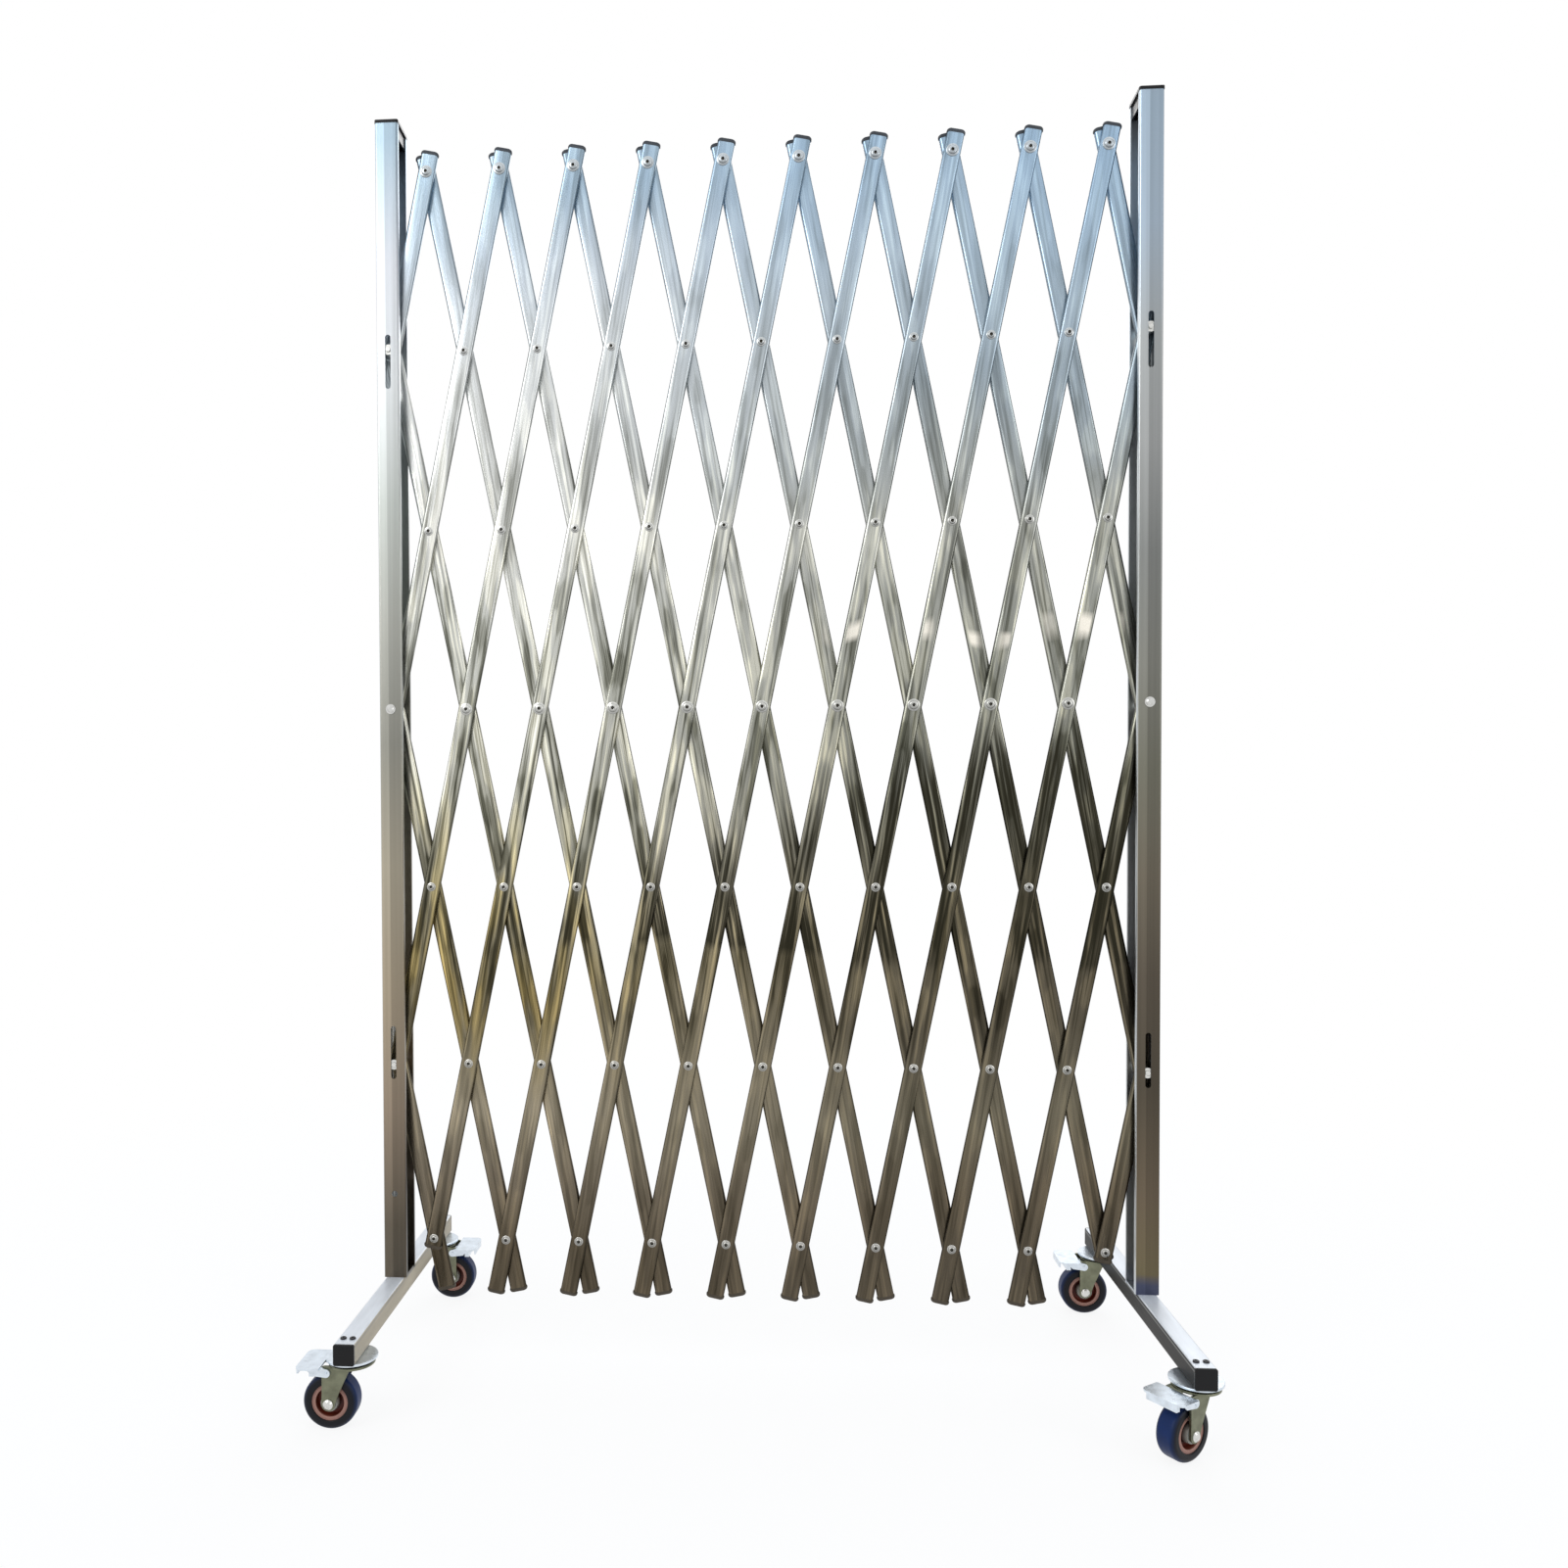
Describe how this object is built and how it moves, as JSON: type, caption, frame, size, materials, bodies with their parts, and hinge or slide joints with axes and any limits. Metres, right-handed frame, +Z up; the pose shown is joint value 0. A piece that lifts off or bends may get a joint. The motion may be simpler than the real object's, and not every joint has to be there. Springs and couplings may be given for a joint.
{
  "type": "expandable crowd barrier",
  "caption": "Expandable scissor-lattice barrier of flat steel tubes between two channel posts, each on a foot bar with braked swivel casters.",
  "frame": {"origin": "on the floor, under the middle of the whole barrier's box at rest", "axes": "+X along the barrier from the left post to the right post, +Z up, -Y towards the front layer of slats"},
  "size_m": [1.061, 0.487, 1.624],
  "materials": {
    "slat_steel": "bright rolled stainless steel, faint lengthwise grain",
    "post_steel": "satin stainless steel, lengthwise grain",
    "fastener_steel": "bright steel",
    "zinc_plate": "bright zinc plate on pressed steel",
    "black_plastic": "moulded black plastic",
    "tyre": "smooth blue-black rubber",
    "wheel_core": "red-brown moulded nylon"
  },
  "bodies": {
    "left_post": {"left_post": "post_steel", "left_post_cap": "black_plastic", "left_foot_bar": "post_steel", "left_foot_plugs": "black_plastic", "left_fasteners": "fastener_steel", "left_caster_plates": "zinc_plate", "left_swivel_bearings": "fastener_steel"},
    "right_post": {"right_post": "post_steel", "right_post_cap": "black_plastic", "right_foot_bar": "post_steel", "right_foot_plugs": "black_plastic", "right_fasteners": "fastener_steel", "right_caster_plates": "zinc_plate", "right_swivel_bearings": "fastener_steel"},
    "front_slat_01": {"front_slat_01": "slat_steel"},
    "front_slat_02": {"front_slat_02": "slat_steel"},
    "front_slat_03": {"front_slat_03": "slat_steel"},
    "front_slat_04": {"front_slat_04": "slat_steel"},
    "front_slat_05": {"front_slat_05": "slat_steel"},
    "front_slat_06": {"front_slat_06": "slat_steel"},
    "front_slat_07": {"front_slat_07": "slat_steel"},
    "front_slat_08": {"front_slat_08": "slat_steel"},
    "front_slat_09": {"front_slat_09": "slat_steel"},
    "front_slat_10": {"front_slat_10": "slat_steel"},
    "front_slat_11": {"front_slat_11": "slat_steel"},
    "front_slat_12": {"front_slat_12": "slat_steel"},
    "front_slat_13": {"front_slat_13": "slat_steel"},
    "back_slat_01": {"back_slat_01": "slat_steel"},
    "back_slat_02": {"back_slat_02": "slat_steel"},
    "back_slat_03": {"back_slat_03": "slat_steel"},
    "back_slat_04": {"back_slat_04": "slat_steel"},
    "back_slat_05": {"back_slat_05": "slat_steel"},
    "back_slat_06": {"back_slat_06": "slat_steel"},
    "back_slat_07": {"back_slat_07": "slat_steel"},
    "back_slat_08": {"back_slat_08": "slat_steel"},
    "back_slat_09": {"back_slat_09": "slat_steel"},
    "back_slat_10": {"back_slat_10": "slat_steel"},
    "back_slat_11": {"back_slat_11": "slat_steel"},
    "back_slat_12": {"back_slat_12": "slat_steel"},
    "back_slat_13": {"back_slat_13": "slat_steel"},
    "front_left_caster": {"front_left_fork": "zinc_plate", "front_left_axle": "fastener_steel"},
    "front_left_wheel": {"front_left_tyre": "tyre", "front_left_wheel_core": "wheel_core"},
    "front_left_pedal": {"front_left_pedal": "zinc_plate"},
    "rear_left_caster": {"rear_left_fork": "zinc_plate", "rear_left_axle": "fastener_steel"},
    "rear_left_wheel": {"rear_left_tyre": "tyre", "rear_left_wheel_core": "wheel_core"},
    "rear_left_pedal": {"rear_left_pedal": "zinc_plate"},
    "front_right_caster": {"front_right_fork": "zinc_plate", "front_right_axle": "fastener_steel"},
    "front_right_wheel": {"front_right_tyre": "tyre", "front_right_wheel_core": "wheel_core"},
    "front_right_pedal": {"front_right_pedal": "zinc_plate"},
    "rear_right_caster": {"rear_right_fork": "zinc_plate", "rear_right_axle": "fastener_steel"},
    "rear_right_wheel": {"rear_right_tyre": "tyre", "rear_right_wheel_core": "wheel_core"},
    "rear_right_pedal": {"rear_right_pedal": "zinc_plate"}
  },
  "joints": [
    {"name": "lattice_fold", "type": "hinge", "parent": "left_post", "child": "front_slat_02", "pos_m": [-0.4695, 0.01048, 0.86], "axis": [0, 1, 0], "range_deg": [-5.71, 16.69]},
    {"name": "back_slat_02_pivot", "type": "hinge", "parent": "left_post", "child": "back_slat_02", "pos_m": [-0.4695, 0.01048, 0.86], "axis": [0, 1, 0], "range_deg": [-16.69, 5.71]},
    {"name": "back_slat_03_pivot", "type": "hinge", "parent": "front_slat_02", "child": "back_slat_03", "pos_m": [-0.421, 0.01048, 1.09403], "axis": [0, 1, 0], "range_deg": [-33.38, 11.42]},
    {"name": "back_slat_04_pivot", "type": "hinge", "parent": "front_slat_02", "child": "back_slat_04", "pos_m": [-0.3725, 0.01048, 1.32805], "axis": [0, 1, 0], "range_deg": [-33.38, 11.42]},
    {"name": "back_slat_05_pivot", "type": "hinge", "parent": "front_slat_02", "child": "back_slat_05", "pos_m": [-0.324, 0.01048, 1.56208], "axis": [0, 1, 0], "range_deg": [-33.38, 11.42]},
    {"name": "front_slat_03_pivot", "type": "hinge", "parent": "back_slat_02", "child": "front_slat_03", "pos_m": [-0.421, 0.01048, 0.62597], "axis": [0, 1, 0], "range_deg": [-11.42, 33.38]},
    {"name": "front_slat_04_pivot", "type": "hinge", "parent": "back_slat_02", "child": "front_slat_04", "pos_m": [-0.3725, 0.01048, 0.39195], "axis": [0, 1, 0], "range_deg": [-11.42, 33.38]},
    {"name": "front_slat_05_pivot", "type": "hinge", "parent": "back_slat_02", "child": "front_slat_05", "pos_m": [-0.324, 0.01048, 0.15792], "axis": [0, 1, 0], "range_deg": [-11.42, 33.38]},
    {"name": "front_slat_01_pivot", "type": "hinge", "parent": "back_slat_03", "child": "front_slat_01", "pos_m": [-0.4695, 0.01048, 1.32805], "axis": [0, 1, 0], "range_deg": [-11.42, 33.38]},
    {"name": "front_slat_06_pivot", "type": "hinge", "parent": "back_slat_03", "child": "front_slat_06", "pos_m": [-0.227, 0.01048, 0.15792], "axis": [0, 1, 0], "range_deg": [-11.42, 33.38]},
    {"name": "front_slat_07_pivot", "type": "hinge", "parent": "back_slat_04", "child": "front_slat_07", "pos_m": [-0.13, 0.01048, 0.15792], "axis": [0, 1, 0], "range_deg": [-11.42, 33.38]},
    {"name": "front_slat_08_pivot", "type": "hinge", "parent": "back_slat_05", "child": "front_slat_08", "pos_m": [-0.033, 0.01048, 0.15792], "axis": [0, 1, 0], "range_deg": [-11.42, 33.38]},
    {"name": "back_slat_01_pivot", "type": "hinge", "parent": "front_slat_03", "child": "back_slat_01", "pos_m": [-0.4695, 0.01048, 0.39195], "axis": [0, 1, 0], "range_deg": [-33.38, 11.42]},
    {"name": "back_slat_06_pivot", "type": "hinge", "parent": "front_slat_03", "child": "back_slat_06", "pos_m": [-0.227, 0.01048, 1.56208], "axis": [0, 1, 0], "range_deg": [-33.38, 11.42]},
    {"name": "back_slat_07_pivot", "type": "hinge", "parent": "front_slat_04", "child": "back_slat_07", "pos_m": [-0.13, 0.01048, 1.56208], "axis": [0, 1, 0], "range_deg": [-33.38, 11.42]},
    {"name": "back_slat_08_pivot", "type": "hinge", "parent": "front_slat_05", "child": "back_slat_08", "pos_m": [-0.033, 0.01048, 1.56208], "axis": [0, 1, 0], "range_deg": [-33.38, 11.42]},
    {"name": "back_slat_09_pivot", "type": "hinge", "parent": "front_slat_06", "child": "back_slat_09", "pos_m": [0.064, 0.01048, 1.56208], "axis": [0, 1, 0], "range_deg": [-33.38, 11.42]},
    {"name": "back_slat_10_pivot", "type": "hinge", "parent": "front_slat_07", "child": "back_slat_10", "pos_m": [0.161, 0.01048, 1.56208], "axis": [0, 1, 0], "range_deg": [-33.38, 11.42]},
    {"name": "back_slat_11_pivot", "type": "hinge", "parent": "front_slat_08", "child": "back_slat_11", "pos_m": [0.258, 0.01048, 1.56208], "axis": [0, 1, 0], "range_deg": [-33.38, 11.42]},
    {"name": "front_slat_09_pivot", "type": "hinge", "parent": "back_slat_06", "child": "front_slat_09", "pos_m": [0.064, 0.01048, 0.15792], "axis": [0, 1, 0], "range_deg": [-11.42, 33.38]},
    {"name": "front_slat_10_pivot", "type": "hinge", "parent": "back_slat_07", "child": "front_slat_10", "pos_m": [0.161, 0.01048, 0.15792], "axis": [0, 1, 0], "range_deg": [-11.42, 33.38]},
    {"name": "front_slat_11_pivot", "type": "hinge", "parent": "back_slat_08", "child": "front_slat_11", "pos_m": [0.258, 0.01048, 0.15792], "axis": [0, 1, 0], "range_deg": [-11.42, 33.38]},
    {"name": "front_slat_12_pivot", "type": "hinge", "parent": "back_slat_09", "child": "front_slat_12", "pos_m": [0.355, 0.01048, 0.15792], "axis": [0, 1, 0], "range_deg": [-11.42, 33.38]},
    {"name": "front_slat_13_pivot", "type": "hinge", "parent": "back_slat_10", "child": "front_slat_13", "pos_m": [0.452, 0.01048, 0.15792], "axis": [0, 1, 0], "range_deg": [-11.42, 33.38]},
    {"name": "back_slat_12_pivot", "type": "hinge", "parent": "front_slat_09", "child": "back_slat_12", "pos_m": [0.355, 0.01048, 1.56208], "axis": [0, 1, 0], "range_deg": [-33.38, 11.42]},
    {"name": "back_slat_13_pivot", "type": "hinge", "parent": "front_slat_10", "child": "back_slat_13", "pos_m": [0.452, 0.01048, 1.56208], "axis": [0, 1, 0], "range_deg": [-33.38, 11.42]},
    {"name": "right_post_pivot", "type": "hinge", "parent": "front_slat_12", "child": "right_post", "pos_m": [0.5005, 0.01048, 0.86], "axis": [0, 1, 0], "range_deg": [-16.69, 5.71]},
    {"name": "front_left_swivel", "type": "hinge", "parent": "left_post", "child": "front_left_caster", "pos_m": [-0.4695, -0.18952, 0.079], "axis": [0, 0, 1], "continuous": true},
    {"name": "front_left_roll", "type": "hinge", "parent": "front_left_caster", "child": "front_left_wheel", "pos_m": [-0.4935, -0.18952, 0.0325], "axis": [0, 1, 0], "continuous": true},
    {"name": "front_left_brake", "type": "hinge", "parent": "front_left_caster", "child": "front_left_pedal", "pos_m": [-0.4955, -0.18952, 0.07], "axis": [0, 1, 0], "range_deg": [-7, 0]},
    {"name": "rear_left_swivel", "type": "hinge", "parent": "left_post", "child": "rear_left_caster", "pos_m": [-0.4695, 0.21048, 0.079], "axis": [0, 0, 1], "continuous": true},
    {"name": "rear_left_roll", "type": "hinge", "parent": "rear_left_caster", "child": "rear_left_wheel", "pos_m": [-0.4455, 0.21048, 0.0325], "axis": [0, -1, 0], "continuous": true},
    {"name": "rear_left_brake", "type": "hinge", "parent": "rear_left_caster", "child": "rear_left_pedal", "pos_m": [-0.4435, 0.21048, 0.07], "axis": [0, -1, 0], "range_deg": [-7, 0]},
    {"name": "front_right_swivel", "type": "hinge", "parent": "right_post", "child": "front_right_caster", "pos_m": [0.5005, -0.18952, 0.079], "axis": [0, 0, 1], "continuous": true},
    {"name": "front_right_roll", "type": "hinge", "parent": "front_right_caster", "child": "front_right_wheel", "pos_m": [0.48084, -0.20328, 0.0325], "axis": [-0.5736, 0.8192, 0], "continuous": true},
    {"name": "front_right_brake", "type": "hinge", "parent": "front_right_caster", "child": "front_right_pedal", "pos_m": [0.4792, -0.20443, 0.07], "axis": [-0.5736, 0.8192, 0], "range_deg": [-7, 0]},
    {"name": "rear_right_swivel", "type": "hinge", "parent": "right_post", "child": "rear_right_caster", "pos_m": [0.5005, 0.21048, 0.079], "axis": [0, 0, 1], "continuous": true},
    {"name": "rear_right_roll", "type": "hinge", "parent": "rear_right_caster", "child": "rear_right_wheel", "pos_m": [0.4765, 0.21048, 0.0325], "axis": [0, 1, 0], "continuous": true},
    {"name": "rear_right_brake", "type": "hinge", "parent": "rear_right_caster", "child": "rear_right_pedal", "pos_m": [0.4745, 0.21048, 0.07], "axis": [0, 1, 0], "range_deg": [-7, 0]}
  ],
  "couplings": [
    {"joint": "back_slat_02_pivot", "follows": "lattice_fold", "ratio": -1},
    {"joint": "back_slat_03_pivot", "follows": "lattice_fold", "ratio": -2},
    {"joint": "back_slat_04_pivot", "follows": "lattice_fold", "ratio": -2},
    {"joint": "back_slat_05_pivot", "follows": "lattice_fold", "ratio": -2},
    {"joint": "front_slat_03_pivot", "follows": "lattice_fold", "ratio": 2},
    {"joint": "front_slat_04_pivot", "follows": "lattice_fold", "ratio": 2},
    {"joint": "front_slat_05_pivot", "follows": "lattice_fold", "ratio": 2},
    {"joint": "front_slat_01_pivot", "follows": "lattice_fold", "ratio": 2},
    {"joint": "front_slat_06_pivot", "follows": "lattice_fold", "ratio": 2},
    {"joint": "front_slat_07_pivot", "follows": "lattice_fold", "ratio": 2},
    {"joint": "front_slat_08_pivot", "follows": "lattice_fold", "ratio": 2},
    {"joint": "back_slat_01_pivot", "follows": "lattice_fold", "ratio": -2},
    {"joint": "back_slat_06_pivot", "follows": "lattice_fold", "ratio": -2},
    {"joint": "back_slat_07_pivot", "follows": "lattice_fold", "ratio": -2},
    {"joint": "back_slat_08_pivot", "follows": "lattice_fold", "ratio": -2},
    {"joint": "back_slat_09_pivot", "follows": "lattice_fold", "ratio": -2},
    {"joint": "back_slat_10_pivot", "follows": "lattice_fold", "ratio": -2},
    {"joint": "back_slat_11_pivot", "follows": "lattice_fold", "ratio": -2},
    {"joint": "front_slat_09_pivot", "follows": "lattice_fold", "ratio": 2},
    {"joint": "front_slat_10_pivot", "follows": "lattice_fold", "ratio": 2},
    {"joint": "front_slat_11_pivot", "follows": "lattice_fold", "ratio": 2},
    {"joint": "front_slat_12_pivot", "follows": "lattice_fold", "ratio": 2},
    {"joint": "front_slat_13_pivot", "follows": "lattice_fold", "ratio": 2},
    {"joint": "back_slat_12_pivot", "follows": "lattice_fold", "ratio": -2},
    {"joint": "back_slat_13_pivot", "follows": "lattice_fold", "ratio": -2},
    {"joint": "right_post_pivot", "follows": "lattice_fold", "ratio": -1}
  ]
}
